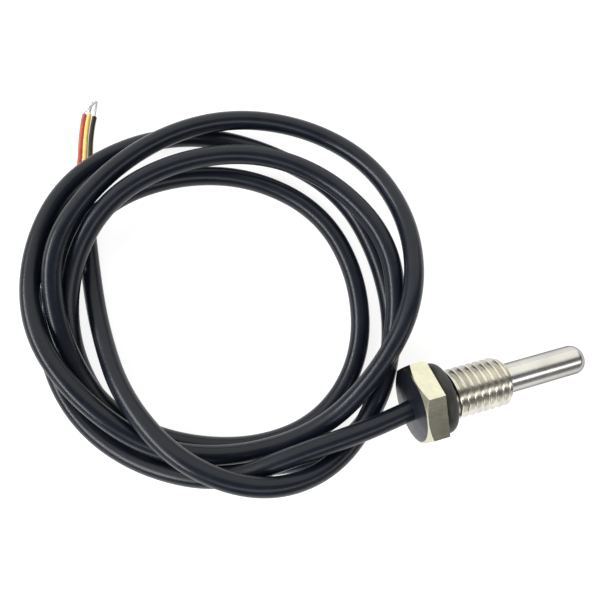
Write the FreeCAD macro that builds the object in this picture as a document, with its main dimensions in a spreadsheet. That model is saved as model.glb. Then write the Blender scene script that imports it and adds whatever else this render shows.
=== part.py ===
# Threaded stainless temperature probe with a three core lead, in millimetres.
# The head lies on its hexagon and its tip, with the lead thrown in loose loops behind it.
# +X runs along the head towards the tip, +Z is up, and the floor is z = 0.
# The origin is on the floor, under the middle of the head.
# Inside the head, lengths run along its axis from the sealing face of the hexagon.
import FreeCAD, Part
import math
import os
import Sketcher

V = FreeCAD.Vector
OUT = "parts"
FULL_TURN = 360.0
SQUARE_TURN = 90.0

SIZES = [
    # Fitting, turned from hexagon bar
    ("hex_flats", 15.0),
    ("hex_thick", 4.1),
    ("hex_chamfer_circle", 14.6),
    ("hex_chamfer_angle", 30.0),
    ("thread_major", 10.0),
    ("thread_pitch", 1.5),
    ("thread_root", 8.16),
    ("thread_root_flat", 0.25),
    ("thread_half_angle", 30.0),
    ("thread_overrun", 1.2),
    ("thread_clear", 0.05),
    ("thread_tip_chamfer", 1.0),
    ("thread_end", 16.0),
    ("relief_diameter", 8.0),
    ("relief_length", 3.1),
    ("recess_diameter", 14.3),
    ("recess_depth", 1.8),
    # Closed tube of the probe
    ("probe_diameter", 6.0),
    ("probe_wall", 0.3),
    ("neck_diameter", 5.6),
    ("probe_reach", 34.2),
    ("probe_rounding", 2.2),
    # Seal and cap
    ("seal_section", 3.1),
    ("cap_dome", 0.5),
    # Lead
    ("lead_diameter", 4.0),
    ("lead_inner_end", 3.5),
    ("lead_knee", 0.3),
    ("lead_exit_side", 0.8),
    ("lead_exit_run", 8.2),
    ("core_diameter", 1.0),
    ("core_pitch", 1.35),
    ("tail_pitch", 1.05),
    ("tail_straight", 3.0),
    ("strand_diameter", 0.45),
    ("strand_straight", 0.5),
    # Sensing chip and its joints
    ("chip_diameter", 4.6),
    ("chip_depth", 3.6),
    ("chip_length", 4.6),
    ("chip_gap", 1.2),
    ("pin_side", 0.45),
    ("pin_length", 4.0),
    ("joint_diameter", 0.8),
    ("joint_length", 2.0),
    ("joint_sleeve_wall", 0.15),
    ("joint_sleeve_length", 4.4),
    ("chip_sleeve_wall", 0.15),
    ("chip_sleeve_gap", 0.1),
    ("chip_sleeve_length", 12.0),
    # How the head lies, and the share of a run that each bend takes
    ("head_roll", 5.0),
    ("bend_share", 0.45),
]

# Route of the lead over the floor, from behind the head to its free end.
LEAD_ROUTE = [
    # First turn
    (-42.0, -3.0, 11.5), (-58.0, -5.0, 8.5), (-74.5, 3.0, 5.0), (-85.0, 15.5, 2.5),
    (-87.5, 31.0, 3.5), (-81.0, 47.0, 6.0), (-67.5, 57.0, 6.5), (-51.5, 59.5, 3.5),
    (-36.0, 55.0, 2.0), (-24.0, 43.5, 2.0), (-20.5, 27.5, 2.0), (-24.5, 11.5, 2.0),
    (-36.0, 1.0, 2.0), (-51.5, -0.5, 2.0), (-67.5, 5.5, 5.0),
    # Second turn
    (-78.5, 16.0, 6.5), (-82.5, 32.5, 9.0), (-79.5, 48.0, 12.0), (-68.5, 59.5, 10.5),
    (-53.5, 67.0, 8.0), (-37.5, 68.5, 5.0), (-22.0, 63.0, 2.0), (-11.0, 51.5, 2.5),
    (-7.5, 35.5, 6.5), (-12.0, 19.5, 12.0), (-23.0, 7.5, 10.5), (-37.0, -0.5, 6.5),
    (-54.0, -1.0, 6.5), (-69.0, 4.5, 9.0),
    # Third turn
    (-80.0, 17.5, 12.0), (-86.5, 33.0, 11.5), (-84.5, 49.5, 8.5), (-75.0, 63.0, 6.5),
    (-60.0, 69.0, 3.5), (-44.5, 67.5, 2.0), (-30.5, 59.0, 2.0), (-19.0, 47.0, 2.0),
    (-15.0, 32.0, 2.0), (-16.0, 15.5, 2.0), (-23.5, 1.0, 2.0), (-35.0, -6.0, 2.0),
    (-52.5, -4.5, 2.0), (-68.5, 1.5, 2.0),
    # Fourth turn
    (-79.0, 14.5, 2.0), (-82.5, 30.0, 3.5), (-77.0, 45.5, 8.5), (-65.5, 56.5, 10.5),
    (-49.5, 60.5, 9.5), (-33.5, 58.5, 7.0), (-20.5, 49.0, 6.0), (-13.0, 34.0, 7.0),
    (-15.0, 19.0, 7.5), (-23.0, 3.5, 6.0), (-34.5, -7.5, 7.0), (-49.0, -8.5, 13.5),
    # Free end, laid across the loops
    (-63.0, 0.5, 15.0), (-72.0, 15.0, 11.0), (-75.5, 30.5, 4.0), (-75.0, 46.5, 2.0),
    (-73.0, 62.0, 2.0),
]

# Cores: colour, place beside the middle one, job of the chip's lead, route past the jacket,
# and route of the bare end.
CORES = [
    ("red", -1, "supply",
     [(-72.4, 69.2, 0.7), (-71.3, 73.6, 0.6), (-70.1, 77.2, 0.6), (-69.1, 79.5, 0.6)],
     [(-67.9, 80.4, 1.1), (-66.8, 80.9, 1.2), (-65.7, 81.6, 1.0)]),
    ("yellow", 0, "data",
     [(-71.3, 68.9, 0.7), (-70.3, 73.3, 0.5), (-69.1, 76.9, 0.5), (-68.1, 79.3, 0.5)],
     [(-67.4, 80.8, 0.4), (-66.8, 82.1, 0.3)]),
    ("black", 1, "ground",
     [(-70.2, 68.6, 0.7), (-69.2, 73.0, 0.5), (-68.0, 76.4, 0.5), (-67.1, 78.4, 0.5)],
     [(-66.5, 80.2, 0.4), (-65.9, 81.8, 0.3)]),
]


# Where the tube starts, and where its narrower neck ends inside
TUBE_MOUTH = "Sizes.recess_depth - Sizes.hex_thick"
NECK_END = "Sizes.thread_end + Sizes.probe_wall"
NECK_INSIDE = "Sizes.neck_diameter / 2 - Sizes.probe_wall"
# Run of the chip's sleeve, which stops short of the neck
CHIP_END = "Sizes.probe_reach - Sizes.probe_wall - Sizes.chip_gap"
SLEEVE_RUN = "min(Sizes.chip_sleeve_length; %s - (%s))" % (CHIP_END, NECK_END)
SLEEVE_START = "%s - %s" % (CHIP_END, SLEEVE_RUN)


class Model:
    """The document, its sheet of sizes and the sub-parts made so far."""

    def __init__(self):
        self.doc = FreeCAD.newDocument("TemperatureProbe")
        self.sheet = self.doc.addObject("Spreadsheet::Sheet", "Sizes")
        for row, (alias, value) in enumerate(SIZES, start=1):
            self.sheet.set("A%d" % row, alias)
            self.sheet.set("B%d" % row, str(value))
            self.sheet.setAlias("B%d" % row, alias)
        self.doc.recompute()
        self.nodes = []

    def size(self, alias):
        return float(self.sheet.get(alias))

    def keep(self, obj, label, placement=None):
        obj.Label = label
        if placement is not None:
            obj.Placement = placement
        self.nodes.append(obj)
        return obj


# Sketch helpers

def origin_plane(body, role):
    """The body's own origin plane or axis with this role."""
    return next(f for f in body.Origin.OriginFeatures if f.Role == role)


def new_sketch(body, name, role):
    sketch = body.newObject("Sketcher::SketchObject", name)
    sketch.AttachmentSupport = [(origin_plane(body, role), "")]
    sketch.MapMode = "FlatFace"
    return sketch


def pin_point(sketch, geo, pos, axis, value, formula):
    """Hold one coordinate of a sketch point at a formula of the sheet's sizes."""
    kind = "DistanceX" if axis == 0 else "DistanceY"
    if formula == "0":
        line_of_axis = -2 if axis == 0 else -1
        sketch.addConstraint(Sketcher.Constraint("PointOnObject", geo, pos, line_of_axis))
        return
    index = sketch.addConstraint(Sketcher.Constraint(kind, -1, 1, geo, pos, value))
    name = "%s_%d_%d" % ("along" if axis == 0 else "across", geo, pos)
    sketch.renameConstraint(index, name)
    sketch.setExpression("Constraints." + name, formula)


def outline(model, sketch, corners):
    """Closed outline of straight lines, each corner held by two formulas."""
    values = [tuple(evaluate(model, f) for f in corner) for corner in corners]
    count = len(corners)
    for i, (x, y) in enumerate(values):
        nx, ny = values[(i + 1) % count]
        sketch.addGeometry(Part.LineSegment(V(x, y, 0), V(nx, ny, 0)), False)
    for i in range(count):
        sketch.addConstraint(Sketcher.Constraint("Coincident", i, 2, (i + 1) % count, 1))
    for i, corner in enumerate(corners):
        for axis in (0, 1):
            pin_point(sketch, i, 1, axis, values[i][axis], corner[axis])


def evaluate(model, formula):
    """Value of a formula, read through a scratch cell of the sheet."""
    cell = "D1"
    model.sheet.set(cell, "=" + formula.replace("Sizes.", ""))
    model.sheet.recompute()
    value = float(model.sheet.get(cell))
    model.sheet.clear(cell)
    return value


def circle_on(model, sketch, radius_formula, centre_formula=None):
    """Circle on the sketch's first axis, at a formula's distance from the origin."""
    centre = evaluate(model, centre_formula) if centre_formula else 0.0
    radius = evaluate(model, radius_formula)
    geo = sketch.addGeometry(Part.Circle(V(centre, 0, 0), V(0, 0, 1), radius), False)
    index = sketch.addConstraint(Sketcher.Constraint("Radius", geo, radius))
    name = "radius_%d" % geo
    sketch.renameConstraint(index, name)
    sketch.setExpression("Constraints." + name, radius_formula)
    pin_point(sketch, geo, 3, 1, 0.0, "0")
    pin_point(sketch, geo, 3, 0, centre, centre_formula or "0")


def turned(model, body, name, corners, kind="PartDesign::Revolution"):
    """Outline turned about the head's axis, added to the body or cut from it."""
    sketch = new_sketch(body, name + "Profile", "XZ_Plane")
    outline(model, sketch, corners)
    model.doc.recompute()
    feature = body.newObject(kind, name)
    feature.Profile = sketch
    feature.ReferenceAxis = (sketch, ["H_Axis"])
    feature.Angle = FULL_TURN
    model.doc.recompute()
    return feature


def ring_edge(shape, along, radius):
    """Name of the circular edge at this distance along the axis."""
    small = 1e-4
    for i, edge in enumerate(shape.Edges, start=1):
        curve = edge.Curve
        if not isinstance(curve, Part.Circle):
            continue
        if abs(curve.Center.x - along) < small and abs(curve.Radius - radius) < small:
            return "Edge%d" % i
    raise RuntimeError("no ring edge at %.2f" % along)


def round_edge(model, body, base, along, radius, formula, name):
    fillet = body.newObject("PartDesign::Fillet", name)
    fillet.Base = (base, [ring_edge(base.Shape, along, radius)])
    fillet.setExpression("Radius", formula)
    model.doc.recompute()
    return fillet


# Where the head lies

def head_tilt(model):
    """Angle that brings the rounded tip and the lowest hexagon corner to the floor."""
    corner = model.size("hex_flats") / math.sqrt(3.0)
    low = corner * math.cos(math.radians(model.size("head_roll")))
    rounding = model.size("probe_rounding")
    across = low - (model.size("probe_diameter") / 2 - rounding)
    along = model.size("probe_reach") - rounding
    return math.atan2(across, along) - math.asin(rounding / math.hypot(across, along))


def head_placement(model):
    """Places the head on the floor, with the middle of its length over the origin."""
    tilt = head_tilt(model)
    corner = model.size("hex_flats") / math.sqrt(3.0)
    low = corner * math.cos(math.radians(model.size("head_roll")))
    rounding = model.size("probe_rounding")
    tip = (model.size("probe_reach") - rounding) * math.cos(tilt)
    tip += (model.size("probe_diameter") / 2 - rounding) * math.sin(tilt) + rounding
    back = model.size("hex_thick") * math.cos(tilt)
    back += model.size("hex_chamfer_circle") / 2 * math.sin(tilt)
    base = V((back - tip) / 2, 0, low * math.cos(tilt))
    lean = FreeCAD.Rotation(V(0, 1, 0), math.degrees(tilt))
    roll = FreeCAD.Rotation(V(1, 0, 0), -model.size("head_roll"))
    return FreeCAD.Placement(base, lean.multiply(roll))


# Fitting

def hex_fitting(model, place):
    body = model.doc.addObject("PartDesign::Body", "HexFitting")
    turned(model, body, "Shank", [
        ("-Sizes.hex_thick / 2", "0"),
        ("Sizes.thread_end", "0"),
        ("Sizes.thread_end", "Sizes.thread_major / 2 - Sizes.thread_tip_chamfer"),
        ("Sizes.thread_end - Sizes.thread_tip_chamfer", "Sizes.thread_major / 2"),
        ("Sizes.relief_length", "Sizes.thread_major / 2"),
        ("Sizes.relief_length", "Sizes.relief_diameter / 2"),
        ("-Sizes.hex_thick / 2", "Sizes.relief_diameter / 2"),
    ])
    hexagon(model, body)
    cable_side_chamfer(model, body)
    helix = thread(model, body)
    bores = turned(model, body, "Bores", [
        ("-Sizes.hex_thick", "0"),
        ("Sizes.thread_end", "0"),
        ("Sizes.thread_end", "Sizes.neck_diameter / 2"),
        ("Sizes.recess_depth - Sizes.hex_thick", "Sizes.neck_diameter / 2"),
        ("Sizes.recess_depth - Sizes.hex_thick", "Sizes.recess_diameter / 2"),
        ("-Sizes.hex_thick", "Sizes.recess_diameter / 2"),
    ], "PartDesign::Groove")
    require_smaller(bores.Shape, helix.Shape, "bores")
    body.Tip = bores
    return model.keep(body, "hex_fitting", place)


def hexagon(model, body):
    """Hexagon pad, with a corner up, that ends at the sealing face."""
    half, corner = "Sizes.hex_flats / 2", "Sizes.hex_flats / sqrt(3)"
    sketch = new_sketch(body, "HexProfile", "YZ_Plane")
    outline(model, sketch, [
        ("0", corner), (half, corner + " / 2"), (half, "-" + corner + " / 2"),
        ("0", "-" + corner), ("-" + half, "-" + corner + " / 2"), ("-" + half, corner + " / 2"),
    ])
    model.doc.recompute()
    pad = body.newObject("PartDesign::Pad", "Hexagon")
    pad.Profile = sketch
    pad.Reversed = True
    pad.setExpression("Length", "Sizes.hex_thick")
    model.doc.recompute()
    return pad


def cable_side_chamfer(model, body):
    """Cone that turns the corners off the cable side of the hexagon."""
    corner = "Sizes.hex_flats / sqrt(3)"
    start = "Sizes.hex_chamfer_circle / 2"
    before = body.Tip.Shape.Volume
    outer = "Sizes.hex_flats"
    end = "(%s - %s) * tan(Sizes.hex_chamfer_angle * 1 deg) - Sizes.hex_thick" % (outer, start)
    cut = turned(model, body, "CornerCone", [
        ("-Sizes.hex_thick", start),
        (end, outer),
        ("-Sizes.hex_thick", outer),
    ], "PartDesign::Groove")
    if cut.Shape.Volume >= before:
        raise RuntimeError("the corner cone cuts nothing")
    return cut


def thread(model, body):
    """Sixty degree thread cut along a helix, running out into the relief groove."""
    slope = "tan(Sizes.thread_half_angle * 1 deg)"
    crest = "(Sizes.thread_major / 2 + Sizes.thread_clear)"
    root = "Sizes.thread_root / 2"
    start = "(Sizes.relief_length - Sizes.thread_overrun)"
    half_root = "Sizes.thread_root_flat / 2"
    half_crest = "(%s + (%s - %s) * %s)" % (half_root, crest, root, slope)
    before = body.Tip.Shape
    sketch = new_sketch(body, "ThreadProfile", "XZ_Plane")
    outline(model, sketch, [
        (start + " - " + half_crest, crest),
        (start + " - " + half_root, root),
        (start + " + " + half_root, root),
        (start + " + " + half_crest, crest),
    ])
    model.doc.recompute()
    helix = body.newObject("PartDesign::SubtractiveHelix", "Thread")
    helix.Profile = sketch
    helix.ReferenceAxis = (sketch, ["H_Axis"])
    helix.Mode = "pitch-height-angle"
    helix.setExpression("Pitch", "Sizes.thread_pitch")
    helix.setExpression("Height", "Sizes.thread_end - Sizes.relief_length + 2 * Sizes.thread_overrun")
    model.doc.recompute()
    require_smaller(helix.Shape, before, "thread")
    return helix


def require_smaller(shape, before, name):
    if not shape.Volume < before.Volume:
        raise RuntimeError("the %s cut nothing" % name)


# Probe, seal and cap

def probe_tube(model, place):
    """Drawn tube with a closed rounded end and a narrower neck that fills the fitting's bore."""
    body = model.doc.addObject("PartDesign::Body", "ProbeTube")
    inner = "Sizes.probe_diameter / 2 - Sizes.probe_wall"
    tube = turned(model, body, "Tube", [
        (TUBE_MOUTH, NECK_INSIDE),
        (NECK_END, NECK_INSIDE),
        (NECK_END, inner),
        ("Sizes.probe_reach - Sizes.probe_wall", inner),
        ("Sizes.probe_reach - Sizes.probe_wall", "0"),
        ("Sizes.probe_reach", "0"),
        ("Sizes.probe_reach", "Sizes.probe_diameter / 2"),
        ("Sizes.thread_end", "Sizes.probe_diameter / 2"),
        ("Sizes.thread_end", "Sizes.neck_diameter / 2"),
        (TUBE_MOUTH, "Sizes.neck_diameter / 2"),
    ])
    reach, radius = model.size("probe_reach"), model.size("probe_diameter") / 2
    wall = model.size("probe_wall")
    outside = round_edge(model, body, tube, reach, radius, "Sizes.probe_rounding", "TipRound")
    round_edge(model, body, outside, reach - wall, radius - wall,
               "Sizes.probe_rounding - Sizes.probe_wall", "TipInside")
    return model.keep(body, "probe_tube", place)


def o_ring(model, place):
    """Ring in the relief groove, against the sealing face."""
    ring = model.doc.addObject("Part::Torus", "SealRing")
    ring.setExpression("Radius1", "Sizes.relief_diameter / 2 + Sizes.seal_section / 2")
    ring.setExpression("Radius2", "Sizes.seal_section / 2")
    turn = FreeCAD.Rotation(V(0, 1, 0), SQUARE_TURN)
    seat = FreeCAD.Placement(V(model.size("seal_section") / 2, 0, 0), turn)
    return model.keep(ring, "o_ring", place.multiply(seat))


def rear_cap(model, place, jacket):
    """Black filling of the recess, slightly domed and cast around the lead."""
    turn = FreeCAD.Rotation(V(0, 1, 0), SQUARE_TURN)
    disc = model.doc.addObject("Part::Cylinder", "CapDisc")
    disc.setExpression("Radius", "Sizes.recess_diameter / 2")
    disc.setExpression("Height", "Sizes.recess_depth + Sizes.cap_dome")
    back = model.size("hex_thick") + model.size("cap_dome")
    disc.Placement = place.multiply(FreeCAD.Placement(V(-back, 0, 0), turn))
    ball = model.doc.addObject("Part::Sphere", "CapBall")
    ball.setExpression("Radius", "(Sizes.recess_diameter ^ 2 / 4 + Sizes.cap_dome ^ 2)"
                       " / (2 * Sizes.cap_dome)")
    model.doc.recompute()
    ball.Placement = along_axis(place, ball.Radius.Value - back)
    cast = model.doc.addObject("Part::Common", "CapCast")
    cast.Base = disc
    cast.Tool = ball
    cap = model.doc.addObject("Part::Cut", "Cap")
    cap.Base = cast
    cap.Tool = jacket
    model.doc.recompute()
    require_smaller(cap.Shape, cast.Shape, "lead's passage")
    return model.keep(cap, "rear_cap")


# Inside the probe

def chip_end(model):
    return evaluate(model, CHIP_END)


def joint_start(model):
    """Place along the axis where the solder joints meet the cores."""
    back = model.size("chip_length") + model.size("pin_length") + model.size("joint_length")
    return chip_end(model) - back


def along_axis(place, x, y=0.0, turn=None):
    """A placement inside the head, shifted along its axis and beside it."""
    return place.multiply(FreeCAD.Placement(V(x, y, 0), turn or FreeCAD.Rotation()))


def sensor_chip(model, place):
    """Moulded chip package with one flat side."""
    turn = FreeCAD.Rotation(V(0, 1, 0), SQUARE_TURN)
    round_part = model.doc.addObject("Part::Cylinder", "ChipRound")
    round_part.setExpression("Radius", "Sizes.chip_diameter / 2")
    round_part.setExpression("Height", "Sizes.chip_length")
    round_part.Placement = FreeCAD.Placement(V(0, 0, 0), turn)
    flat = model.doc.addObject("Part::Box", "ChipFlat")
    flat.setExpression("Length", "Sizes.chip_length")
    flat.setExpression("Width", "Sizes.chip_diameter")
    flat.setExpression("Height", "Sizes.chip_depth")
    radius = model.size("chip_diameter") / 2
    flat.Placement = FreeCAD.Placement(V(0, -radius, -radius), FreeCAD.Rotation())
    chip = model.doc.addObject("Part::Common", "Chip")
    chip.Base = round_part
    chip.Tool = flat
    start = chip_end(model) - model.size("chip_length")
    return model.keep(chip, "sensor_chip", along_axis(place, start))


def chip_lead(model, place, side, job):
    """Flat pin between the chip and its solder joint."""
    pin = model.doc.addObject("Part::Box", "Pin" + job.capitalize())
    pin.setExpression("Length", "Sizes.pin_length")
    pin.setExpression("Width", "Sizes.pin_side")
    pin.setExpression("Height", "Sizes.pin_side")
    half = model.size("pin_side") / 2
    start = joint_start(model) + model.size("joint_length")
    corner = FreeCAD.Placement(V(0, -half, -half), FreeCAD.Rotation())
    at = along_axis(place, start, side * model.size("core_pitch")).multiply(corner)
    return model.keep(pin, "chip_lead_" + job, at)


def solder_joint(model, place, side, colour):
    joint = model.doc.addObject("Part::Cylinder", "Joint" + colour.capitalize())
    joint.setExpression("Radius", "Sizes.joint_diameter / 2")
    joint.setExpression("Height", "Sizes.joint_length")
    turn = FreeCAD.Rotation(V(0, 1, 0), SQUARE_TURN)
    at = along_axis(place, joint_start(model), side * model.size("core_pitch"), turn)
    return model.keep(joint, "solder_joint_" + colour, at)


def inner_core(model, place, side, colour):
    """Insulated core from the jacket's inner end to its solder joint."""
    core = model.doc.addObject("Part::Cylinder", "InnerCore" + colour.capitalize())
    core.setExpression("Radius", "Sizes.core_diameter / 2")
    start = model.size("lead_inner_end")
    core.Height = joint_start(model) - start
    turn = FreeCAD.Rotation(V(0, 1, 0), SQUARE_TURN)
    at = along_axis(place, start, side * model.size("core_pitch"), turn)
    return model.keep(core, "inner_core_" + colour, at)


def sleeve(model, name, label, inner, outer, length, at):
    """Shrunk sleeve, a plain ring drawn along the axis."""
    body = model.doc.addObject("PartDesign::Body", name)
    sketch = new_sketch(body, name + "Ring", "YZ_Plane")
    circle_on(model, sketch, outer)
    circle_on(model, sketch, inner)
    model.doc.recompute()
    pad = body.newObject("PartDesign::Pad", name + "Length")
    pad.Profile = sketch
    pad.setExpression("Length", length)
    model.doc.recompute()
    return model.keep(body, label, at)


def joint_sleeve(model, place, side, colour):
    """Sleeve centred on a solder joint, snug on the core."""
    overlap = (model.size("joint_sleeve_length") - model.size("joint_length")) / 2
    at = along_axis(place, joint_start(model) - overlap, side * model.size("core_pitch"))
    inner = "Sizes.core_diameter / 2"
    return sleeve(model, "JointSleeve" + colour.capitalize(), "joint_sleeve_" + colour,
                  inner, inner + " + Sizes.joint_sleeve_wall", "Sizes.joint_sleeve_length", at)


def chip_sleeve(model, place):
    """Sleeve over the chip and its three joints."""
    inner = "Sizes.chip_diameter / 2 + Sizes.chip_sleeve_gap"
    return sleeve(model, "ChipSleeve", "chip_sleeve", inner, inner + " + Sizes.chip_sleeve_wall",
                  SLEEVE_RUN, along_axis(place, evaluate(model, SLEEVE_START)))


def potting_resin(model, place, enclosed):
    """Resin in the tube, around the jacket's inner end and the cores."""
    body = model.doc.addObject("PartDesign::Body", "ResinPlug")
    bore = "Sizes.probe_diameter / 2 - Sizes.probe_wall"
    turned(model, body, "Plug", [
        (TUBE_MOUTH, "0"), (CHIP_END, "0"), (CHIP_END, bore),
        (NECK_END, bore), (NECK_END, NECK_INSIDE), (TUBE_MOUTH, NECK_INSIDE),
    ])
    beyond = "Sizes.probe_diameter / 2"
    turned(model, body, "PlugFront", [
        (SLEEVE_START, "0"), ("Sizes.probe_reach", "0"),
        ("Sizes.probe_reach", beyond), (SLEEVE_START, beyond),
    ], "PartDesign::Groove")
    body.Placement = place
    inside = model.doc.addObject("Part::MultiFuse", "Enclosed")
    inside.Shapes = enclosed
    resin = model.doc.addObject("Part::Cut", "Resin")
    resin.Base = body
    resin.Tool = inside
    model.doc.recompute()
    require_smaller(resin.Shape, body.Shape, "cores' passages")
    return model.keep(resin, "potting_resin")


# Lead

def bend(before, corner, after, share):
    """Start, middle, end and radius of the arc that rounds one corner of a route."""
    back = (before - corner)
    ahead = (after - corner)
    short = min(back.Length, ahead.Length)
    back.normalize()
    ahead.normalize()
    turn = math.pi - back.getAngle(ahead)
    cut = share * short
    radius = cut / math.tan(turn / 2)
    inward = back + ahead
    inward.normalize()
    middle = corner + inward * (radius / math.cos(turn / 2) - radius)
    return corner + back * cut, middle, corner + ahead * cut, radius


def path_along(points, share):
    """Straight runs joined by tangent arcs, with the arcs' radii."""
    edges, radii = [], []
    last = points[0]
    for before, corner, after in zip(points, points[1:], points[2:]):
        start, middle, end, radius = bend(before, corner, after, share)
        edges.append(Part.LineSegment(last, start).toShape())
        edges.append(Part.Arc(start, middle, end).toShape())
        radii.append(radius)
        last = end
    edges.append(Part.LineSegment(last, points[-1]).toShape())
    return edges, radii


def round_tube(edges, start, heading, diameter):
    """Solid round tube along a path, and the path's length."""
    path = Part.Wire(edges)
    ring = Part.Wire([Part.makeCircle(diameter / 2, start, heading)])
    return path.makePipeShell([ring], True, False), path.Length


def tube_node(model, name, label, solid, length, diameter):
    section = math.pi * diameter ** 2 / 4
    ratio = solid.Volume / (section * length)
    print("%s: length %.1f, volume %.4f of section times length" % (label, length, ratio))
    feature = model.doc.addObject("Part::Feature", name)
    feature.Shape = solid
    return model.keep(feature, label, FreeCAD.Placement())


def lead_points(model, place):
    """Inner end, knee, and route. The first run carries on from the knee through the cap."""
    inner = V(model.size("lead_inner_end"), 0, 0)
    knee = V(model.size("lead_knee"), 0, 0)
    back = model.size("hex_thick") + model.size("cap_dome")
    mouth = V(-back, -model.size("lead_exit_side"), 0)
    out = (mouth - knee).normalize()
    first = mouth + out * model.size("lead_exit_run")
    at_head = [unrolled(model, place).multVec(p) for p in (inner, knee, mouth, first)]
    return at_head[0], at_head[1], at_head[2:] + [V(*p) for p in LEAD_ROUTE]


def unrolled(model, place):
    """The head's placement without the roll of its hexagon."""
    back = FreeCAD.Rotation(V(1, 0, 0), model.size("head_roll"))
    return place.multiply(FreeCAD.Placement(V(0, 0, 0), back))


def cable_jacket(model, place):
    """Jacketed lead: the short stretch inside the head and the loops on the floor."""
    inner, knee, route = lead_points(model, place)
    share = model.size("bend_share")
    diameter = model.size("lead_diameter")
    outside, radii = path_along(route, share)
    first_bend = bend(route[0], route[1], route[2], share)[0]
    inside, inner_radii = path_along([inner, knee, first_bend], share)
    solid, length = round_tube(inside + outside[1:], inner, knee - inner, diameter)
    jacket = tube_node(model, "Jacket", "cable_jacket", solid, length, diameter)
    print("length outside the head: %.1f" % Part.Wire(outside).Length)
    print("arc radii: " + ", ".join("%.1f" % r for r in inner_radii + radii))
    return jacket, route


def tail(model, route, side, colour, core_route, strand_route):
    """One core past the jacket's end, and its tinned strands."""
    end = route[-1]
    heading = (route[-1] - route[-2]).normalize()
    beside = heading.cross(V(0, 0, 1)).normalize()
    start = end + beside * (side * model.size("tail_pitch"))
    first = start + heading * model.size("tail_straight")
    points = [start, first] + [V(*p) for p in core_route]
    name = colour.capitalize()
    plain_tube(model, "TailCore" + name, "tail_core_" + colour, points, "core_diameter")
    out = (points[-1] - points[-2]).normalize()
    stub = points[-1] + out * model.size("strand_straight")
    strands = [points[-1], stub] + [V(*p) for p in strand_route]
    plain_tube(model, "Strands" + name, "tail_strands_" + colour, strands, "strand_diameter")


def plain_tube(model, name, label, points, alias):
    edges, radii = path_along(points, model.size("bend_share"))
    diameter = model.size(alias)
    solid, length = round_tube(edges, points[0], points[1] - points[0], diameter)
    tube_node(model, name, label, solid, length, diameter)
    print("    tightest arc radius %.1f" % min(radii))


# Checks and files

def check(model):
    for obj in model.doc.Objects:
        if "Invalid" in obj.State or "Error" in obj.State:
            raise RuntimeError("%s did not compute" % obj.Name)
    for node in model.nodes:
        shape = node.Shape
        if shape.isNull() or not shape.isValid():
            raise RuntimeError("%s has no valid shape" % node.Label)
        if len(shape.Solids) != 1:
            raise RuntimeError("%s has %d solids" % (node.Label, len(shape.Solids)))


def write(model):
    os.makedirs(OUT, exist_ok=True)
    for node in model.nodes:
        node.Shape.exportStep(os.path.join(OUT, node.Label + ".step"))
    print("%d nodes written" % len(model.nodes))


def main():
    model = Model()
    place = head_placement(model)
    hex_fitting(model, place)
    probe_tube(model, place)
    o_ring(model, place)
    sensor_chip(model, place)
    chip_sleeve(model, place)
    jacket, route = cable_jacket(model, place)
    rear_cap(model, place, jacket)
    enclosed = [jacket]
    for colour, side, job, core_route, strand_route in CORES:
        enclosed.append(inner_core(model, place, side, colour))
        solder_joint(model, place, side, colour)
        joint_sleeve(model, place, side, colour)
        chip_lead(model, place, side, job)
        tail(model, route, side, colour, core_route, strand_route)
    potting_resin(model, place, enclosed)
    model.doc.recompute()
    check(model)
    write(model)


main()
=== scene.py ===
# Looks of a threaded temperature probe with its lead thrown in loose loops, in metres.
import math

import bpy
from mathutils import Matrix, Vector

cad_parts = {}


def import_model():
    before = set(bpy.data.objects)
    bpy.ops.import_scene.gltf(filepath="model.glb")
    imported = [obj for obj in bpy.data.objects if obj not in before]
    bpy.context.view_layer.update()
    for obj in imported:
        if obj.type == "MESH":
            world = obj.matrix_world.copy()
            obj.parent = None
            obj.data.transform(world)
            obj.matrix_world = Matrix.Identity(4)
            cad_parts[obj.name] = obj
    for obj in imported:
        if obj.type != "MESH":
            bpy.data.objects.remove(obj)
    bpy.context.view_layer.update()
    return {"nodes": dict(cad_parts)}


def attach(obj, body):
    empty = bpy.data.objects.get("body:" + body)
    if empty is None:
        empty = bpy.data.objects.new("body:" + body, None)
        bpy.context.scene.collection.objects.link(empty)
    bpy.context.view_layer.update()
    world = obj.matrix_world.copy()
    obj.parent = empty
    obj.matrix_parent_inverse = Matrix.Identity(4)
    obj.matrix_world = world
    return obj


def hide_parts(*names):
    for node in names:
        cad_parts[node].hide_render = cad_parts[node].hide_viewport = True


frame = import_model()
nodes = frame["nodes"]
MM = 0.001

# How the head lies: the middle of its sealing face, and its lean towards the tip.
SEAT = Vector((-14.282, 0.0, 8.498)) * MM
LEAN = math.radians(9.9157)

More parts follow.
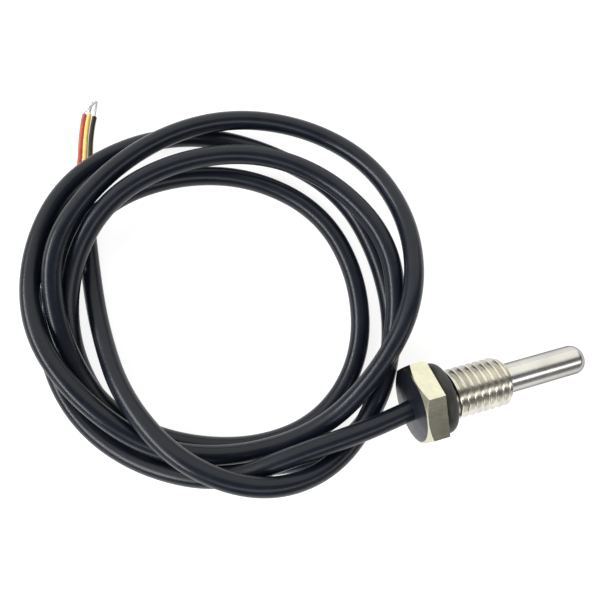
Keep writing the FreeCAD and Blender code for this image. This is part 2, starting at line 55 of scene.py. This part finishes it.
# Route of the lead, in millimetres, from the filling behind the hexagon to the free end.
ROUTE = [
    # Out of the head
    (-18.3, -0.7, 9.2), (-26.9, -2.1, 10.7),
    # First turn
    (-42.0, -3.0, 11.5), (-58.0, -5.0, 8.5), (-74.5, 3.0, 5.0), (-85.0, 15.5, 2.5),
    (-87.5, 31.0, 3.5), (-81.0, 47.0, 6.0), (-67.5, 57.0, 6.5), (-51.5, 59.5, 3.5),
    (-36.0, 55.0, 2.0), (-24.0, 43.5, 2.0), (-20.5, 27.5, 2.0), (-24.5, 11.5, 2.0),
    (-36.0, 1.0, 2.0), (-51.5, -0.5, 2.0), (-67.5, 5.5, 5.0),
    # Second turn
    (-78.5, 16.0, 6.5), (-82.5, 32.5, 9.0), (-79.5, 48.0, 12.0), (-68.5, 59.5, 10.5),
    (-53.5, 67.0, 8.0), (-37.5, 68.5, 5.0), (-22.0, 63.0, 2.0), (-11.0, 51.5, 2.5),
    (-7.5, 35.5, 6.5), (-12.0, 19.5, 12.0), (-23.0, 7.5, 10.5), (-37.0, -0.5, 6.5),
    (-54.0, -1.0, 6.5), (-69.0, 4.5, 9.0),
    # Third turn
    (-80.0, 17.5, 12.0), (-86.5, 33.0, 11.5), (-84.5, 49.5, 8.5), (-75.0, 63.0, 6.5),
    (-60.0, 69.0, 3.5), (-44.5, 67.5, 2.0), (-30.5, 59.0, 2.0), (-19.0, 47.0, 2.0),
    (-15.0, 32.0, 2.0), (-16.0, 15.5, 2.0), (-23.5, 1.0, 2.0), (-35.0, -6.0, 2.0),
    (-52.5, -4.5, 2.0), (-68.5, 1.5, 2.0),
    # Fourth turn
    (-79.0, 14.5, 2.0), (-82.5, 30.0, 3.5), (-77.0, 45.5, 8.5), (-65.5, 56.5, 10.5),
    (-49.5, 60.5, 9.5), (-33.5, 58.5, 7.0), (-20.5, 49.0, 6.0), (-13.0, 34.0, 7.0),
    (-15.0, 19.0, 7.5), (-23.0, 3.5, 6.0), (-34.5, -7.5, 7.0), (-49.0, -8.5, 13.5),
    # Free end, laid across the loops
    (-63.0, 0.5, 15.0), (-72.0, 15.0, 11.0), (-75.5, 30.5, 4.0), (-75.0, 46.5, 2.0),
    (-73.0, 62.0, 2.0),
]
LEAD_DIAMETER = 0.004

# Bare ends of the cores, in millimetres, from the cut of the insulation.
BARE_ENDS = {
    "red": [(-69.1, 79.5, 0.6), (-68.9, 80.0, 0.6), (-67.9, 80.4, 1.1), (-66.8, 80.9, 1.2),
            (-65.7, 81.6, 1.0)],
    "yellow": [(-68.1, 79.3, 0.5), (-67.9, 79.8, 0.5), (-67.4, 80.8, 0.4), (-66.8, 82.1, 0.3)],
    "black": [(-67.1, 78.4, 0.5), (-66.9, 78.9, 0.5), (-66.5, 80.2, 0.4), (-65.9, 81.8, 0.3)],
}

# The tinned wires of one core: six lie in a ring round the seventh, lightly twisted.
RING_WIRES = 6
RING_RADIUS = 0.152 * MM
WIRE_RADIUS = 0.082 * MM
TWIST_LENGTH = 5.5 * MM

# How finely the round lines are drawn.
STEPS_ALONG = 12
GUIDE_STEPS_ALONG = 16
LEAD_SIDES = 10
GUIDE_SIDES = 8
WIRE_SIDES = 2


# Materials. A scale counts noise cells in a metre, and a depth is in metres.

# Where the greyer surface of the thread takes over, along the head from its sealing face.
THREAD_FROM = -0.5 * MM
THREAD_FULL = 1.5 * MM


class Build:
    """A node material with the head's own coordinates at hand."""

    def __init__(self, name):
        self.mat = bpy.data.materials.new(name)
        self.mat.use_nodes = True
        self.tree = self.mat.node_tree
        self.bsdf = self.tree.nodes["Principled BSDF"]
        coord = self.tree.nodes.new("ShaderNodeTexCoord")
        self.place = coord.outputs["Object"]

    def node(self, kind, **values):
        made = self.tree.nodes.new(kind)
        for key, value in values.items():
            if key in made.inputs:
                made.inputs[key].default_value = value
            else:
                setattr(made, key, value)
        return made

    def link(self, a, b):
        self.tree.links.new(a, b)

    def in_head(self):
        """Coordinates along the head's axis, from the sealing face."""
        mapping = self.node("ShaderNodeMapping", vector_type="TEXTURE")
        mapping.inputs["Location"].default_value = SEAT
        mapping.inputs["Rotation"].default_value = (0.0, LEAN, 0.0)
        self.link(self.place, mapping.inputs["Vector"])
        return mapping.outputs["Vector"]

    def noise(self, vector, scale, detail=3.0, roughness=0.55, stretch=None):
        if stretch:
            mapping = self.node("ShaderNodeMapping")
            mapping.inputs["Scale"].default_value = stretch
            self.link(vector, mapping.inputs["Vector"])
            vector = mapping.outputs["Vector"]
        made = self.node("ShaderNodeTexNoise", Scale=scale, Detail=detail, Roughness=roughness)
        self.link(vector, made.inputs["Vector"])
        return made.outputs["Fac"]

    def blend(self, fac, dark, light, start=0.3, end=0.7):
        """From a dark to a light colour, between two levels of the factor."""
        made = self.node("ShaderNodeValToRGB")
        elements = made.color_ramp.elements
        for element, at, colour in zip(elements, (start, end), (dark, light)):
            element.position = at
            element.color = (*colour, 1.0)
        self.link(fac, made.inputs["Fac"])
        return made.outputs["Color"]

    def range(self, fac, low, high, start=0.0, end=1.0):
        made = self.node("ShaderNodeMapRange")
        made.inputs["From Min"].default_value = start
        made.inputs["From Max"].default_value = end
        made.inputs["To Min"].default_value = low
        made.inputs["To Max"].default_value = high
        self.link(fac, made.inputs["Value"])
        return made.outputs["Result"]

    def along_head(self, head, behind, ahead):
        """One colour behind the sealing face, and another on the thread ahead of it."""
        apart = self.node("ShaderNodeSeparateXYZ")
        self.link(head, apart.inputs["Vector"])
        onward = self.range(apart.outputs["X"], 0.0, 1.0, THREAD_FROM, THREAD_FULL)
        made = self.node("ShaderNodeMix", data_type="RGBA")
        factor, first, second = made.inputs[0], made.inputs[6], made.inputs[7]
        self.link(onward, factor)
        self.link(behind, first)
        self.link(ahead, second)
        return made.outputs[2]

    def bump(self, height, depth, strength=1.0, after=None):
        made = self.node("ShaderNodeBump", Strength=strength, Distance=depth)
        self.link(height, made.inputs["Height"])
        if after is not None:
            self.link(after, made.inputs["Normal"])
        return made.outputs["Normal"]

    def finish(self, colour, rough, normal):
        for value, key in ((colour, "Base Color"), (rough, "Roughness"), (normal, "Normal")):
            self.link(value, self.bsdf.inputs[key])
        return self.mat

    def set(self, **values):
        for key, value in values.items():
            self.bsdf.inputs[key.replace("_", " ")].default_value = value


def turned_steel(name):
    """Stainless bar, turned: fine rings round the axis, slight stains, a greyer thread."""
    b = Build(name)
    head = b.in_head()
    stains = b.noise(head, scale=420.0, detail=4.0)
    hexagon = b.blend(stains, (0.55, 0.54, 0.42), (0.64, 0.625, 0.49), end=0.62)
    thread = b.blend(stains, (0.54, 0.52, 0.47), (0.70, 0.675, 0.61), end=0.62)
    colour = b.along_head(head, hexagon, thread)
    rings = b.node("ShaderNodeTexWave", wave_type="BANDS", bands_direction="X", Scale=1500.0,
                   Distortion=0.8, Detail=2.0)
    b.link(head, rings.inputs["Vector"])
    scratch = b.noise(head, scale=900.0, detail=5.0, stretch=(0.25, 3.0, 3.0))
    rough = b.range(scratch, low=0.18, high=0.30)
    turned = b.bump(rings.outputs["Fac"], depth=0.004 * MM, strength=0.10)
    normal = b.bump(scratch, depth=0.006 * MM, strength=0.10, after=turned)
    b.set(Metallic=1.0)
    return b.finish(colour, rough, normal)


def polished_tube(name):
    """Drawn and polished tube, with faint lines and a grey rim: the dark grey edge tint is
    painted shade in the reflection of the floor beside it.
    """
    b = Build(name)
    head = b.in_head()
    drawn = b.noise(head, scale=700.0, detail=4.0, stretch=(6.0, 0.6, 0.6))
    cloud = b.noise(head, scale=160.0, detail=2.0)
    colour = b.blend(cloud, (0.53, 0.52, 0.50), (0.61, 0.60, 0.575), start=0.35, end=0.65)
    rough = b.range(drawn, low=0.19, high=0.29)
    normal = b.bump(drawn, depth=0.003 * MM, strength=0.12)
    # The dark grey Specular Tint dulls the grazing reflection at the rim: painted shade of the
    # floor beside the tube.
    b.set(Metallic=1.0, Specular_Tint=(0.14, 0.14, 0.14, 1.0))
    return b.finish(colour, rough, normal)


def rubber(name):
    """Black rubber with a little dust."""
    b = Build(name)
    grain = b.noise(b.place, scale=2600.0, detail=5.0)
    dust = b.noise(b.place, scale=500.0)
    colour = b.blend(dust, (0.016, 0.0155, 0.015), (0.030, 0.029, 0.028), start=0.35, end=0.75)
    rough = b.range(dust, low=0.42, high=0.62)
    normal = b.bump(grain, depth=0.02 * MM, strength=0.25)
    b.set(Specular_IOR_Level=0.45)
    return b.finish(colour, rough, normal)


def cast_filling(name):
    """Black compound poured into the back of the hexagon."""
    b = Build(name)
    sag = b.noise(b.place, scale=260.0, detail=1.0)
    grain = b.noise(b.place, scale=1900.0, detail=4.0)
    colour = b.blend(sag, (0.006, 0.007, 0.011), (0.013, 0.014, 0.021))
    rough = b.range(grain, low=0.24, high=0.42)
    flow = b.bump(sag, depth=0.3 * MM, strength=0.5)
    normal = b.bump(grain, depth=0.01 * MM, strength=0.2, after=flow)
    return b.finish(colour, rough, normal)


def jacket_plastic(name):
    """Black cable sheath: semi-gloss, finely grained, with faint scuffs."""
    b = Build(name)
    grain = b.noise(b.place, scale=3800.0, detail=4.0)
    scuff = b.noise(b.place, scale=190.0, detail=5.0, roughness=0.65)
    colour = b.blend(scuff, (0.0032, 0.0050, 0.0105), (0.0066, 0.0092, 0.0165), end=0.72)
    rough = b.range(scuff, low=0.24, high=0.40)
    wave = b.bump(scuff, depth=0.12 * MM, strength=0.18)
    normal = b.bump(grain, depth=0.012 * MM, strength=0.3, after=wave)
    b.set(Specular_IOR_Level=0.27, Coat_Weight=0.08, Coat_Roughness=0.15)
    return b.finish(colour, rough, normal)


def insulation(name, light, deep):
    """Thin coloured plastic round a core."""
    b = Build(name)
    cloud = b.noise(b.place, scale=700.0)
    grain = b.noise(b.place, scale=5000.0)
    colour = b.blend(cloud, deep, light)
    rough = b.range(grain, low=0.28, high=0.42)
    normal = b.bump(grain, depth=0.006 * MM, strength=0.25)
    b.set(Specular_IOR_Level=0.35)
    return b.finish(colour, rough, normal)


def bright_metal(name, tint, rough, scale):
    """Tin or solder, cloudy, from its smoothest roughness upwards."""
    b = Build(name)
    cloud = b.noise(b.place, scale, detail=4.0)
    dull = tuple(0.78 * v for v in tint)
    colour = b.blend(cloud, dull, tint)
    rough = b.range(cloud, low=rough, high=rough + 0.2)
    normal = b.bump(cloud, depth=0.01 * MM, strength=0.3)
    b.set(Metallic=1.0)
    return b.finish(colour, rough, normal)


def moulded(name, light, deep, rough, scale):
    """Moulded plastic or cast resin, grained, round a middle roughness."""
    b = Build(name)
    grain = b.noise(b.place, scale, detail=4.0)
    colour = b.blend(grain, deep, light)
    rough = b.range(grain, low=rough - 0.06, high=rough + 0.08)
    normal = b.bump(grain, depth=0.01 * MM, strength=0.3)
    return b.finish(colour, rough, normal)


def dress(node, material):
    obj = nodes[node]
    obj.data.materials.clear()
    obj.data.materials.append(material)


STEEL = turned_steel("turned_stainless")
TUBE = polished_tube("polished_stainless")
SEAL = rubber("seal_rubber")
FILLING = cast_filling("cast_filling")
JACKET = jacket_plastic("sheath_black")
CORE = {
    "red": insulation("core_red", (0.56, 0.12, 0.07), (0.42, 0.08, 0.045)),
    "yellow": insulation("core_yellow", (0.88, 0.65, 0.21), (0.74, 0.52, 0.15)),
    "black": insulation("core_black", (0.020, 0.017, 0.009), (0.012, 0.010, 0.006)),
}
TINNED = bright_metal("tinned_copper", (0.70, 0.70, 0.72), rough=0.28, scale=2600.0)
SOLDER = bright_metal("solder", (0.74, 0.74, 0.76), rough=0.2, scale=900.0)
PINS = bright_metal("tinned_pins", (0.80, 0.80, 0.80), rough=0.22, scale=1500.0)
CHIP = moulded("chip_black", (0.045, 0.045, 0.048), (0.022, 0.022, 0.024),
               rough=0.55, scale=3200.0)
SHRINK = moulded("shrink_black", (0.035, 0.035, 0.037), (0.018, 0.018, 0.019),
                 rough=0.42, scale=900.0)
CLEAR = moulded("shrink_pale", (0.70, 0.69, 0.66), (0.55, 0.54, 0.51),
                rough=0.35, scale=800.0)
RESIN = moulded("inner_resin", (0.03, 0.03, 0.035), (0.012, 0.012, 0.015),
                rough=0.3, scale=500.0)

dress("hex_fitting", STEEL)
dress("probe_tube", TUBE)
dress("o_ring", SEAL)
dress("rear_cap", FILLING)
dress("cable_jacket", JACKET)
dress("sensor_chip", CHIP)
dress("chip_sleeve", SHRINK)
dress("potting_resin", RESIN)
for job in ("supply", "data", "ground"):
    dress("chip_lead_" + job, PINS)
for colour in CORE:
    dress("tail_core_" + colour, CORE[colour])
    dress("inner_core_" + colour, CORE[colour])
    dress("tail_strands_" + colour, TINNED)
    dress("solder_joint_" + colour, SOLDER)
    dress("joint_sleeve_" + colour, CLEAR)


# Lead and bare ends

def route_curve(name, points, radius, sides, steps, material=None):
    """A smooth round line through a given route."""
    data = bpy.data.curves.new(name, "CURVE")
    data.dimensions = "3D"
    data.bevel_depth = radius
    data.bevel_resolution = sides
    data.use_fill_caps = True
    data.resolution_u = steps
    spline = data.splines.new("NURBS")
    spline.points.add(len(points) - 1)
    for point, place in zip(spline.points, points):
        point.co = (*(v * MM for v in place), 1.0)
    spline.order_u = 3
    spline.use_endpoint_u = True
    obj = bpy.data.objects.new(name, data)
    bpy.context.scene.collection.objects.link(obj)
    if material:
        data.materials.append(material)
    return obj


def line_points(points):
    """Points along the smooth line of a route."""
    guide = route_curve("guide", points, 0.0, GUIDE_SIDES, GUIDE_STEPS_ALONG)
    mesh = bpy.data.meshes.new_from_object(guide)
    found = [v.co.copy() for v in mesh.vertices]
    bpy.data.objects.remove(guide)
    bpy.data.meshes.remove(mesh)
    return found


def strand_bundle(name, points, material):
    """The bare wires of one core, twisted round its middle line."""
    line = line_points(points)
    data = bpy.data.curves.new(name, "CURVE")
    data.dimensions = "3D"
    data.bevel_depth = WIRE_RADIUS
    data.bevel_resolution = WIRE_SIDES
    data.use_fill_caps = True
    for k in range(RING_WIRES + 1):
        away = RING_RADIUS if k < RING_WIRES else 0.0
        spline = data.splines.new("POLY")
        spline.points.add(len(line) - 1)
        along = 0.0
        for i, place in enumerate(line):
            if i:
                along += (place - line[i - 1]).length
            ahead = line[min(i + 1, len(line) - 1)] - line[max(i - 1, 0)]
            side = ahead.cross(Vector((0.0, 0.0, 1.0))).normalized()
            up = side.cross(ahead).normalized()
            angle = 2 * math.pi * (k / RING_WIRES + along / TWIST_LENGTH)
            out = side * math.cos(angle) + up * math.sin(angle)
            spline.points[i].co = (*(place + out * away), 1.0)
    obj = bpy.data.objects.new(name, data)
    bpy.context.scene.collection.objects.link(obj)
    data.materials.append(material)
    return obj


lead = route_curve("lead", ROUTE, LEAD_DIAMETER / 2, LEAD_SIDES, STEPS_ALONG, JACKET)
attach(lead, "root")
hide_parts("cable_jacket")

for colour, points in BARE_ENDS.items():
    bundle = strand_bundle("bare_end_" + colour, points, TINNED)
    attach(bundle, "root")
    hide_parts("tail_strands_" + colour)


# Floor, lights and camera

WHITE = (1.0, 1.0, 1.0)
WARM = (1.0, 0.99, 0.92)

# The floor reaches this far from the origin each way, and partly glows so that shadows stay pale.
FLOOR_REACH = 3.0
FLOOR_GREY = 0.36
FLOOR_GLOW = 0.84

# The studio's brightness near the horizon and overhead, between two rises of the line of sight.
HORIZON, OVERHEAD = 0.62, 0.15
HORIZON_RISE, OVERHEAD_RISE = 0.03, 0.24

# The camera looks down steeply from close by, a little round to the left.
AZIMUTH = math.radians(-15.0)
ELEVATION = math.radians(82.5)
CAMERA_PLACE = Vector((-38.25, 9.7, 136.2)) * MM
SENSOR_WIDTH = 36.0
FOCAL_LENGTH = 38.4
NEAREST = 5 * MM

# Soft panels: name, place, aim, width and height, power in watts, tint.
PANELS = [
    ("far_side", (0.30, 0.58, 0.46), (0.30, 0.0, 0.0), (2.0, 0.98), 8.1, WARM),
    ("near_side", (0.30, -0.42, 0.58), (0.30, 0.0, 0.0), (1.4, 0.20), 2.9, WHITE),
    ("left_side", (-0.62, 0.08, 0.50), (-0.07, 0.08, 0.0), (0.9, 0.15), 7.0, WHITE),
]


def floor():
    mesh = bpy.data.meshes.new("floor")
    far = FLOOR_REACH
    corners = [(-far, -far, 0), (far, -far, 0), (far, far, 0), (-far, far, 0)]
    mesh.from_pydata(corners, [], [(0, 1, 2, 3)])
    obj = bpy.data.objects.new("floor", mesh)
    bpy.context.scene.collection.objects.link(obj)
    mat = bpy.data.materials.new("floor_white")
    mat.use_nodes = True
    shader = mat.node_tree.nodes["Principled BSDF"]
    shader.inputs["Base Color"].default_value = (FLOOR_GREY, FLOOR_GREY, FLOOR_GREY, 1.0)
    shader.inputs["Roughness"].default_value = 0.9
    shader.inputs["Specular IOR Level"].default_value = 0.1
    shader.inputs["Emission Color"].default_value = (*WHITE, 1.0)
    shader.inputs["Emission Strength"].default_value = FLOOR_GLOW
    mesh.materials.append(mat)


def panel(name, place, aim, size, power, tint):
    """Soft light panel at a place in metres, facing another."""
    data = bpy.data.lights.new(name, "AREA")
    data.shape = "RECTANGLE"
    data.size, data.size_y = size
    data.energy = power
    data.color = tint
    obj = bpy.data.objects.new(name, data)
    obj.location = place
    obj.rotation_euler = (Vector(aim) - Vector(place)).to_track_quat("-Z", "Y").to_euler()
    bpy.context.scene.collection.objects.link(obj)


def world():
    """A dim studio that is paler towards the horizon."""
    made = bpy.data.worlds.new("studio")
    made.use_nodes = True
    tree = made.node_tree
    shade = tree.nodes["Background"]
    coord = tree.nodes.new("ShaderNodeTexCoord")
    apart = tree.nodes.new("ShaderNodeSeparateXYZ")
    fade = tree.nodes.new("ShaderNodeMapRange")
    fade.inputs["From Min"].default_value = HORIZON_RISE
    fade.inputs["From Max"].default_value = OVERHEAD_RISE
    fade.inputs["To Min"].default_value = HORIZON
    fade.inputs["To Max"].default_value = OVERHEAD
    tree.links.new(coord.outputs["Generated"], apart.inputs["Vector"])
    tree.links.new(apart.outputs["Z"], fade.inputs["Value"])
    tree.links.new(fade.outputs["Result"], shade.inputs["Strength"])
    shade.inputs["Color"].default_value = (*WHITE, 1.0)
    bpy.context.scene.world = made


def camera():
    """The view of the photograph."""
    back = Vector((math.sin(AZIMUTH) * math.cos(ELEVATION),
                   -math.cos(AZIMUTH) * math.cos(ELEVATION), math.sin(ELEVATION)))
    right = Vector((math.cos(AZIMUTH), math.sin(AZIMUTH), 0.0))
    up = back.cross(right)
    data = bpy.data.cameras.new("camera")
    data.sensor_width = SENSOR_WIDTH
    data.lens = FOCAL_LENGTH
    data.clip_start = NEAREST
    obj = bpy.data.objects.new("camera", data)
    turn = Matrix((right, up, back)).transposed().to_4x4()
    obj.matrix_world = Matrix.Translation(CAMERA_PLACE) @ turn
    bpy.context.scene.collection.objects.link(obj)
    bpy.context.scene.camera = obj


floor()
world()
camera()
for row in PANELS:
    panel(*row)
bpy.context.scene.view_settings.view_transform = "Standard"
